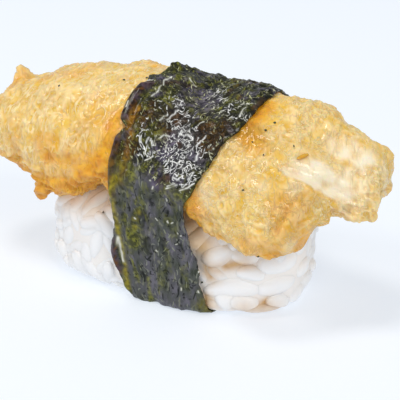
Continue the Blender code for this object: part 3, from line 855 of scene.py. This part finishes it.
def rice_grains(skin, normals):
    """Joined cooked grains over the loaf: the grain shape, bent, turned, placed and pressed flat.

    A point that would stand more than proud above its grain's seat is drawn in to
    proud * (1 - exp(-height / proud)), as the hand presses the loaf.
    """
    chance = np.random.default_rng(GRAIN_SEED)
    front = front_grains(skin, normals)
    line = np.linspace(-0.35, 0.35, 5)[None, :, None]
    taken = (front[0][:, None] + line * front[1][:, None] * front[3][:, None, :1]).reshape(-1, 3)
    loose = scattered_grains(skin, normals, taken, chance)
    seat, along, outward, size = (np.concatenate(pair) for pair in zip(front, loose))
    proud = np.concatenate([np.full(len(front[0]), FRONT_PROUD),
                            chance.uniform(0.7, 1.3, len(loose[0])) * GRAIN_PROUD])[:, None]
    length, width = size[:, :1], size[:, 1:]
    third = unit(np.cross(along, outward))
    shape = grain_shape()
    bend = chance.uniform(-0.5, 0.5, (len(seat), 1)) * (4 * shape[:, 0] ** 2)
    local = shape[:, 0] * length, shape[:, 1] * width + bend, shape[:, 2] * width
    points = placed_grains(seat - outward * (width * 0.5 - proud * 1.2),
                           (along, third, np.cross(third, along)), local)
    points += 0.35 * noise(points, 2.4, 45)[..., None] * outward[:, None]
    points += 0.3 * noise(points, 2.7, 49)[..., None] * third[:, None]
    height = ((points - seat[:, None]) * outward[:, None]).sum(axis=-1)
    pressed = proud * (1 - np.exp(-np.maximum(height, 0) / proud))
    points += (np.where(height > 0, pressed, height) - height)[..., None] * outward[:, None]
    low = front_foot(points) * bell(points[..., 2], 0, 1.5)
    points += FOOT_SPREAD * low[..., None] * outward[:, None] * (1, 1, 0)
    points[..., 2] = np.maximum(points[..., 2], GRAIN_FLOOR)
    points[..., :2] = held_in(points)
    piece = joined_grains("rice_grains", points, **sauce_and_painted_shade(points.reshape(-1, 3), skin))
    rounder = piece.modifiers.new("rounder", 'SUBSURF')
    rounder.levels = rounder.render_levels = 1
    return piece, points.reshape(-1, 3)


def sauce_and_painted_shade(points, skin):
    """Sauce near its spots, a warmer front foot, and painted warm shade beside the band and under the
    fillet.
    """
    mark = seen_marks(skin, SAUCE_AND_SHADE_SPOTS)
    sauce = at_marks(points, mark, ("beside_band", 0.9, 1.1), ("crevice", 0.9, 0.9), ("foot", 1.1, 1.3),
                     ("low_gap", 0.8, 0.9), ("low_front", 0.6, 1.7))
    # painted warm shade beside the band and under the fillet's left part
    shade = at_marks(points, mark, ("shade", 0.9, 1.9), ("left_shade", 0.3, 2.2))
    return {"sauce": np.clip(sauce, 0, 0.9), "shade": shade}


def rice_core(skin):
    """The loaf inside the grains: the same surface, drawn in, with small grain-sized lumps."""
    surface = rice_surface(150, 60, -CORE_DEPTH)
    surface[..., 2] = np.maximum(surface[..., 2] + 0.25 * noise(surface, 3.2, 41), CORE_FLOOR)
    points = with_poles(surface)
    points[-2] = (0, 0, CORE_FLOOR)
    return make_mesh("rice_core", points, *closed_faces(*surface.shape[:2]), **sauce_and_painted_shade(points, skin))


# ---------------- fillet

def fillet_form(sides, rings):
    """The smooth fillet: superellipse rings round X, closed at both tips, arched and draped.

    Returns the points and each one's share across, upward and along, from -1 to 1.
    """
    around = ((np.arange(sides) / sides - 0.25) * 2 * PI)[:, None]
    step = np.linspace(-1, 1, rings + 2)[None, 1:-1]
    reach = step * (1.25 - 0.25 * step ** 4)
    half = FILLET_LENGTH / 2
    x = FILLET_MIDDLE_X + half * reach
    end = (1 - np.abs(reach) ** 3.2) ** (1 / 2.6)
    front = FILLET_FRONT + 3.3 * bell(x, 21.7, 7.3) - 3.2 * bell(x, 30.3, 5)
    front = front - 1.5 * ramp(x, -20.4, -25.4) - 2.5 * ramp(x, 24.4, 30)
    back = FILLET_BACK - 1.6 * ramp(x, 4, 20) + ramp(x, 10, 24)
    over = 1 - 0.05 * ramp(x, -8, -34) - 0.12 * ramp(x, 14, 26)
    over = FILLET_OVER * (over - 0.25 * bell(x, 3.3, 4.2) - 0.15 * bell(x, 7.5, 8.5))
    under = 1 + 0.44 * bell(x, -19.6, 6.5) - 0.13 * ramp(x, -26.5, -32)
    under = FILLET_UNDER * (under - 0.48 * ramp(x, 24.7, 28.3))
    across, upward = np.cos(around), np.sin(around)
    y = signed_power(across, FILLET_ROUNDNESS) * np.where(across > 0, back, front) * end
    z = signed_power(upward, FILLET_ROUNDNESS) * np.where(upward > 0, over, under) * end
    tip, side = np.where(x < ARCH_TOP_X, ((ARCH_LEFT,), (1,)), ((ARCH_RIGHT,), (-1,)))
    arch = tip * ((x - ARCH_TOP_X) / (half + side * (ARCH_TOP_X - FILLET_MIDDLE_X))) ** 2
    droop = DRAPE * (y / FILLET_FRONT) ** 2
    tilt = TILT_LEFT + (TILT_RIGHT - TILT_LEFT) * ramp(x, -10, 14)
    lift = tilt * y * np.where(across > 0, 0.2 + 0.8 * ramp(upward, -0.6, 0.4), 1)
    height = FILLET_CENTRE_Z + z - arch - droop + lift
    for (middle_x, middle_y), (reach_x, reach_y), rise in (VALLEY, FOLD):
        place = bell(x, middle_x, reach_x) * bell(y, middle_y, reach_y)
        height = height + rise * place * ramp(upward, 0.1, 0.7)
    x, across, upward, reach, height = np.broadcast_arrays(x, across, upward, reach, height)
    return np.stack([x, y, height], axis=-1), across, upward, reach


def fillet_lumps(points, across, upward, reach):
    """The fillet moved outwards by its lumps, crinkles and ragged rim, and pushed at its rim."""
    rise = LUMP * noise(points, LUMP_LENGTH, 11) + CRINKLE * noise(points, CRINKLE_LENGTH, 12)
    rise += FRILL * bell(upward, -0.35, 0.4) * noise(points, FRILL_LENGTH, 13)
    points = points + unit(np.stack([reach ** 5, across, upward], axis=-1)) * rise[..., None]
    return points + sum(
        bell(np.linalg.norm(points - place, axis=-1), 0, width)[..., None] * np.array(push)
        for place, push, width in RIM_PUSHES)


def fillet_surface(sides, rings):
    """The whole fillet with its fine wrinkles, and the masks that its finish reads.

    Each wrinkle moves the surface along its normal: drips that run down the left part, curling
    ridges, blisters on the right part, ragged folds along the lower rim, and the fold, the crease
    and the smooth patches at their marks.
    """
    points, across, upward, reach = fillet_form(sides, rings)
    points = fillet_lumps(points, across, upward, reach)
    mark = seen_marks(points, BATTER_MARKS)
    x = points[..., 0]
    left = ramp(x, 4, -6)
    rim = bell(upward, -0.35, 0.42)
    uneven = swirled(points, 2.2, 1.5, 91)
    groove = near(uneven, mark["groove"], 2.8)
    patch = near(uneven, mark["upper_patch"], 1.9)
    blister = near(points, mark["blister"], 1.4)
    away, foot = nearest_on_path(points, mark["fold"])
    behind = away * np.sign((points - foot) @ (0.35, 0.8, 0.5))
    calm = 1 - 0.9 * np.clip(groove * 1.3 + patch + 0.8 * blister, 0, 1)
    calm = calm * (1 - 0.6 * near(points, mark["shoulder"], 2.2))
    rough = 0.35 + 0.65 * ramp(noise(points, 6, 37), -0.3, 0.2)

    drips = noise(points * (1, 0.42, 0.42), 1.9, 34) * left
    ridges = worms(swirled(points, 2.6, 0.9, 31), 1.9, 35, 0.2)
    threads = worms(swirled(points, 1.5, 0.6, 32), 1.2, 36, 0.26)
    bubbles = domes(points, 1.9, 43) * (1 - left) * ramp(noise(points, 5, 44), -0.15, 0.2)
    folds = worms(swirled(points * (0.4, 1, 1), 1.8, 0.4, 61), 1.5, 46, 0.3) * rim
    rise = rough * (0.28 * ridges + 0.2 * threads + 0.18 * bubbles) + 0.26 * drips
    rise = calm * (rise + 0.2 * noise(points, 1.9, 38))
    rise += 0.5 * folds * left + 0.5 * rim * noise(points, 1.7, 39) + 0.4 * blister
    rise += 0.7 * bell(behind, -0.6, 0.8) * bell(away, 0, 2) - 0.8 * bell(behind, 1.4, 1.2)
    rise += at_marks(points, mark, ("crease", -0.45, 0.6), ("left_hollow", -0.3, 0.8),
                     ("lobe_foot", -0.9, 1.7), ("corner", 0.4, 1), ("ridge_left", 0.45, 1.5),
                     ("under_band", -0.55, 1.5))
    centre = points * (1, 0, 0) + (0, 0, FILLET_CENTRE_Z)
    points = points + outward_normals(points, centre) * rise[..., None]

    # amber: downward faces deeper, partly the browner rim and partly painted shade
    amber = 0.75 * ramp(upward, 0.1, -0.45) * (0.65 + 0.6 * noise(points, 3, 47))
    amber += 0.45 * ramp(noise(points, 7, 42), 0.1, 0.5)
    # at the marks: the crease and the left hollow partly painted shade, the shoulder beside the band
    # partly the band's painted shadow
    amber += at_marks(points, mark, ("shoulder", 1.3, 1.7), ("corner", 1, 1.2), ("left_rim", 1.3, 2.6),
                      ("left_corner", 1, 1.9), ("tip_rim", 0.45, 1.3), ("spur", 0.5, 1.6),
                      ("crease", 0.35, 0.8), ("lobe_rim", 0.5, 1.6), ("left_hollow", 0.7, 1.1))
    amber += 0.3 * bell(behind, -0.15, 0.3) * bell(away, 0, 1)
    amber *= (1 - 0.9 * ramp(x, 24, 31)) * (1 - 0.3 * near(points, mark["lobe_foot"], 2.4))
    cloudy = 0.85 + 0.7 * noise(points, 1.8, 48)
    # pale: thin batter that shows the flesh, and the whitish spots, partly painted light
    pale = (groove * 1.3 * ramp(behind, -0.5, 0.2) + 0.9 * patch) * cloudy + 0.35 * blister
    pale += 0.15 * near(uneven, mark["end_patch"], 2.2) + 0.4 * spots(points, mark["whitish"], 1.3)
    pale = np.clip(pale, 0, 0.9)
    # ridge: the ridge tops, which the finish paints paler, partly as highlights
    ridge = calm * (rough * (ridges + 0.7 * threads) + 0.9 * np.maximum(drips, 0))
    # tan: beside the band, partly the band's painted shadow; the yellowish spots tint towards the same
    # tan
    return points, {
        "pale": pale, "amber": np.clip(amber - pale, 0, 1), "ridge": np.clip(ridge, 0, 1),
        "tan": 0.85 * near(uneven, mark["tan"], 1.3) + 0.4 * spots(points, mark["yellowish"], 1.4),
        "left": left, "laid": np.swapaxes(laid_flat(np.swapaxes(points, 0, 1)), 0, 1)}


def battered_fillet():
    surface, masks = fillet_surface(FILLET_SIDES, FILLET_RINGS)
    masks = {key: with_poles(value) for key, value in masks.items()}
    faces = closed_faces(*surface.shape[:2])
    return make_mesh("battered_fillet", with_poles(surface), *faces, **masks), surface


# ---------------- nori

def nori_turns():
    """Angles round the band in radians, closer together over the top and the front.

    The density is 1 - 0.75 * bell(angle, 270 degrees, 50 degrees), the stretch under the rice,
    less 0.45 * bell(angle, 0 or 360 degrees, 45 degrees), the back.
    """
    fine = np.linspace(0, 2 * PI, 3601)
    density = 1 - 0.75 * bell(fine, 1.5 * PI, 0.28 * PI)
    density -= 0.45 * (bell(fine, 0, PI / 4) + bell(fine, 2 * PI, PI / 4))
    walked = np.concatenate([[0], np.cumsum((density[1:] + density[:-1]) / 2)])
    return np.interp(np.arange(NORI_SIDES) / NORI_SIDES * walked[-1], walked, fine)


def nori_edge(turn, edge):
    """An edge's x at each angle: straight stretches between its points, softened by averaging."""
    degrees, place = np.array(edge).T
    shifts = np.linspace(-2.2, 2.2, 9)
    weights = bell(shifts, 0, 1.4)
    return sum(weight * np.interp(np.degrees(turn) + shift, degrees, place, period=360)
               for shift, weight in zip(shifts, weights / weights.sum()))


def nori_hull(turn, ray, *solids):
    """Reach of the tight hull from the band's middle line, as (stations, sides).

    At each station the support of the nearby points in every direction gives the hull, and the
    least support / cos(angle between) gives its reach along a ray.
    """
    both = np.concatenate([solid.reshape(-1, 3) for solid in solids])
    facing = np.cos(turn[:, None] - turn[None, ::4])
    reach = []
    for station in np.linspace(*NORI_REACH_X, NORI_STATIONS):
        close = both[np.abs(both[:, 0] - station) < 0.9]
        support = ((close[:, 1:] - NORI_CENTRE) @ ray[::4].T).max(axis=0)
        reach.append(np.where(facing > 0.2, support / np.maximum(facing, 0.2), 1e9).min(axis=1))
    return np.array(reach)


def nori_band(*solids):
    """The band: hull reach at each x, rolled hems and crinkles outside, a smooth face inside.

    Outer columns run from the left edge to the right one, and the inner ones run back.
    """
    turn = nori_turns()
    degrees = np.degrees(turn)
    ray = np.stack([np.cos(turn), np.sin(turn)], axis=-1)
    hull = nori_hull(turn, ray, *solids)
    left_edge, right_edge = nori_edge(turn, NORI_LEFT_EDGE), nori_edge(turn, NORI_RIGHT_EDGE)
    walk = np.stack([0 * turn, *(NORI_REACH * ray.T)], axis=-1)
    ragged_left = 0.3 * noise(walk, 2.4, 51) + 0.2 * noise(walk, 0.9, 52)
    ragged_right = 0.25 * noise(walk + 60, 2, 53) + 0.16 * noise(walk + 60, 0.8, 54)

    def laid_out(share):
        """x and the hull's reach there, for each share of the way from edge to edge."""
        x = left_edge + (right_edge - left_edge) * share
        x = x + ragged_left * (1 - share) ** 4 + ragged_right * share ** 4
        station = (x - NORI_REACH_X[0]) / (NORI_REACH_X[1] - NORI_REACH_X[0]) * (NORI_STATIONS - 1)
        low = np.clip(station.astype(int), 0, NORI_STATIONS - 2)
        part = station - low
        side = np.arange(NORI_SIDES)
        return x, hull[low, side] * (1 - part) + hull[low + 1, side] * part + NORI_CLEARANCE

    def around(x, reach, centre=NORI_CENTRE):
        return np.concatenate([x[..., None], centre + ray * reach[..., None]], axis=-1)

    x, reach = laid_out(np.linspace(0, 1, NORI_OUTER_COLUMNS)[:, None])
    flat, seen = around(x, reach, 0), around(x, reach)
    mark = seen_marks(seen, NORI_MARKS)
    from_left, from_right = x - left_edge, right_edge - x
    hem, roll, groove = np.zeros((3, *x.shape))
    for start, end, width in NORI_ROLLS:
        window = ramp(degrees, start - 1.5, start + 3) * ramp(degrees, end + 1.5, end - 3)
        width = width * (1 + 0.25 * noise(walk, 3, 55))
        across = np.clip(1 - (2 * from_left / width - 1) ** 2, 0, 1)
        roll += window * np.sqrt(across) * (from_left < width)
        hem += window * ramp(width - from_left, -0.2, 0.25)
        groove += window * bell(from_left, width + 0.3, 0.3)
    free = 1 - np.clip(hem, 0, 1)
    limit = 148 + 12 * ramp(x, -1.5, 5) + 4 * noise(flat, 3, 74)
    crinkled = ramp(degrees, 48, 72) * ramp(degrees, limit + 8, limit - 4)
    crinkled = crinkled + 0.35 * ramp(degrees, 60, 40)
    hanging = ramp(degrees, 160, 185) + 0.6 * ramp(degrees, 60, 20)

    warped = swirled(seen, 1.6, 0.8, 71)
    pits = near_any(warped, seen, NORI_PITS, 0.5)
    furrow = noise(swirled(flat * (1, 0.33, 0.33), 3, 0.3, 57), 1.7, 60)
    ridges = worms(swirled(flat, 1.8, 0.5, 62), 1.5, 65, 0.22)
    rise = 0.16 + 0.16 * noise(flat, 3.6, 56) + 0.42 * furrow * hanging
    rise = rise * (1 - 0.75 * bell(degrees, 232, 11)) - 0.4 * pits
    rise += 0.24 * crinkled * (ridges + domes(flat, 1.25, 66))
    rise += 0.15 * noise(flat, 1, 67) + 0.25 * noise(flat, 2, 68) * (0.4 + 0.6 * crinkled)
    rise -= 0.4 * groove + 0.2 * bell(x, 6.5, 4.5) * bell(degrees, 86, 9)
    rise += 0.75 * bell(degrees, 230, 9) + at_marks(
        seen, mark, ("crown_bump", 0.65, 1.1), ("crown_dent", -0.9, 1.3), ("crown_right", 0.5, 1.3))
    rise *= 1 - 0.75 * bell(degrees, 97, 8) * bell(from_left, 0, 1.6)
    hugging = ramp(from_right, -0.1, 1.4) * free
    rise = np.maximum(rise, 0) * (0.25 + 0.75 * hugging) + NORI_ROLL_HEIGHT * roll
    outer = around(x, reach + NORI_SHEET + rise)
    outer[..., 2] = np.maximum(outer[..., 2], 0)
    inner = around(*laid_out(np.linspace(1, 0, NORI_INNER_COLUMNS)[:, None]))
    inner[..., 2] = np.maximum(inner[..., 2], NORI_SHEET)

    olive, brown, purple = (near_any(warped, seen, NORI_ZONES[colour], reach) for colour, reach in (
        ("olive", 2.2), ("brown", 1.8), ("purple", 1.7)))
    streaks = ramp(noise(flat * (1, 0.3, 0.3), 1.8, 69), -0.05, 0.3) * (1 - 0.5 * crinkled)
    olive = np.maximum(streaks * (0.4 + 0.6 * ramp(from_left, 9, 3)), 1.3 * olive) * (0.2 + 0.8 * free)
    brown = np.maximum(1.1 * brown, near(warped, mark["amber_inner"], 0.9))
    brown = np.maximum(brown, 0.8 * crinkled * ramp(noise(flat, 3.4, 72), 0.25, 0.4))
    purple = np.maximum(1.1 * purple, 0.6 * crinkled * ramp(noise(flat, 3, 73), 0.3, 0.5))
    amber = at_marks(seen, mark, ("amber_strip", 0.75, 0.42), ("left_strip", 0.8, 0.5),
                     ("tucked_end", 0.35, 0.8), ("green_strip", 0.7, 0.45))
    amber += 0.35 * near(warped, mark["amber_inner"], 0.5) + 0.6 * spots(seen, mark["amber_flecks"], 0.45)
    amber += 0.16 * bell(degrees, 158, 14) * ramp(from_left, 5, 1)
    # where the finish paints white highlights on the crinkles
    gleam = 0.15 * crinkled + at_marks(
        swirled(seen, 2.5, 0.8, 75), mark, ("gleam_left", 1, 1.2), ("gleam_upper", 1, 2),
        ("gleam_middle", 1, 2.1), ("gleam_right", 0.5, 1.9), ("gleam_low", 0.7, 1.5))
    gleam += 0.9 * near(seen, mark["gleam_top"], 1) + 0.9 * spots(seen, mark["gleam_spots"], 1.2)
    gleam *= free * (1 - 0.8 * spots(seen, mark["dull_spots"], 1))
    # painted glints: white glints and crease highlights, the highlight line along the upper roll, and the
    # pale gap beside the lower roll in the same white
    dots = 0.9 * near_any(seen, seen, NORI_PAINTED_GLINTS, 0.12) + 0.9 * near_any(seen, seen, NORI_CREASE_HIGHLIGHTS, 0.13)
    dots += at_marks(seen, mark, ("pale_gap", 0.8, 0.36), ("roll_gleam", 0.3, 0.12))
    masks = {key: np.clip(value, 0, most) for key, value, most in (
        ("olive", olive, 1), ("brown", brown, 0.9), ("purple", purple, 0.8), ("amber", amber, 0.95),
        ("hem", hem, 0.9), ("crinkle", crinkled, 1), ("gleam", gleam, 1), ("dots", dots, 1),
        ("crest", rise / 0.7 + 0.2 * hem, 1), ("pits", pits, 1))}
    masks["laid"] = laid_flat(seen)
    pick = np.linspace(NORI_OUTER_COLUMNS - 1, 0, NORI_INNER_COLUMNS).astype(int)
    masks = {key: np.concatenate([value, value[pick]]).reshape(-1, *value.shape[2:])
             for key, value in masks.items()}
    quads = grid_quads(NORI_OUTER_COLUMNS + NORI_INNER_COLUMNS, NORI_SIDES, True)[:, ::-1]
    return make_mesh("nori_strap", np.concatenate([outer, inner]).reshape(-1, 3), quads, **masks)


# ---------------- specks and flake

def chips(name, places, normals, lengths, widths, thickness, seed):
    """Flat little chips lying on a surface: the grain shape squashed, turned about the normal."""
    turn = np.random.default_rng(seed).uniform(0, PI, (len(places), 1))
    side = unit(np.cross(normals, (0.01, 0.01, 1.01)))
    along = np.cos(turn) * side + np.sin(turn) * np.cross(normals, side)
    shape = grain_shape()
    local = shape[:, 0] * lengths, shape[:, 1] * widths, (shape[:, 2] + 0.3) * thickness
    return joined_grains(name, placed_grains(places, (along, np.cross(normals, along), normals), local))


# ---------------- stage

def stand(device, place):
    """An object that holds a lamp or the camera at a place, pointed at the camera's target."""
    holder = bpy.data.objects.new(device.name, device)
    holder.location = Vector(place) * MM
    holder.rotation_euler = (Vector(place) - Vector(CAMERA_TARGET)).to_track_quat('Z', 'Y').to_euler()
    bpy.context.scene.collection.objects.link(holder)
    return holder


def studio():
    """A pale floor, an even pale sky, soft lamps, and the camera at the photograph's angle."""
    corners = np.array([[-1, -1, 0], [1, -1, 0], [1, 1, 0], [-1, 1, 0]]) * FLOOR_REACH
    floor = make_mesh("floor", corners, np.array([[0, 1, 2, 3]]))
    look = Finish("pale_floor")
    look.set(Base_Color=(0.42, 0.42, 0.42), Roughness=0.8)
    look.set(Emission_Color=(0.82, 0.895, 1), Emission_Strength=0.6)
    floor.data.materials.append(look.material)
    scene = bpy.context.scene
    scene.world = bpy.data.worlds.new("sky")
    scene.world.use_nodes = True
    sky = scene.world.node_tree.nodes["Background"].inputs
    sky["Color"].default_value = (0.92, 0.96, 1, 1)
    sky["Strength"].default_value = 0.5
    for name, place, size, power, colour in LAMPS:
        lamp = bpy.data.lights.new(name, 'AREA')
        lamp.shape, lamp.size, lamp.energy, lamp.color = 'DISK', size * MM, power, colour
        stand(lamp, place)
    lens = bpy.data.cameras.new("camera")
    lens.lens, lens.sensor_width, lens.clip_start = CAMERA_LENS, SENSOR_WIDTH, 0.005
    scene.camera = stand(lens, camera_place())
    scene.view_settings.view_transform = 'Standard'


# ---------------- the piece

def finish_piece(piece, material, node=None):
    piece.data.materials.append(material)
    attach(piece, "root")
    if node:
        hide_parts(node)


fillet, fillet_points = battered_fillet()
finish_piece(fillet, batter_finish(), "tempura_fillet")

rice_skin = rice_surface(240, 90, -GRAIN_DEPTH)
rice_normals = outward_normals(rice_skin, (0, 0, RICE_HEIGHT / 2)).reshape(-1, 3)
rice_skin = rice_skin.reshape(-1, 3)
grains, grain_points = rice_grains(rice_skin, rice_normals)
cooked_rice = rice_finish("cooked_rice", (0.95, 0.93, 0.92), (0.985, 0.975, 0.96))
finish_piece(grains, cooked_rice, "rice_block")
rice_gaps = rice_finish("rice_gaps", (0.95, 0.88, 0.82), (0.98, 0.94, 0.9))
finish_piece(rice_core(rice_skin), rice_gaps)
finish_piece(nori_band(fillet_points, grain_points), nori_finish(), "nori_band")

seen_surfaces = np.concatenate([fillet_points.reshape(-1, 3), grain_points])
seen_normals = np.concatenate([
    outward_normals(fillet_points, (0, 0, FILLET_CENTRE_Z)).reshape(-1, 3),
    unit(grain_points - (RICE_MIDDLE_X, 0, RICE_HEIGHT / 2))])
speck_index = [seen_at(seen_surfaces, pixel) for pixel in SPECKS]
speck_sizes = np.sort(np.random.default_rng(9).uniform(0.2, 0.42, (len(SPECKS), 2)), axis=1)
specks = chips("herb_specks", seen_surfaces[speck_index], seen_normals[speck_index],
               speck_sizes[:, 1:], speck_sizes[:, :1], SPECK_THICKNESS, 8)
finish_piece(specks, speck_finish())
flake_index = [seen_at(seen_surfaces, FLAKE_AT)]
flake = chips("amber_flake", seen_surfaces[flake_index], seen_normals[flake_index],
              FLAKE_LENGTH, FLAKE_WIDTH, FLAKE_THICKNESS, 3)
finish_piece(flake, flake_finish())
studio()
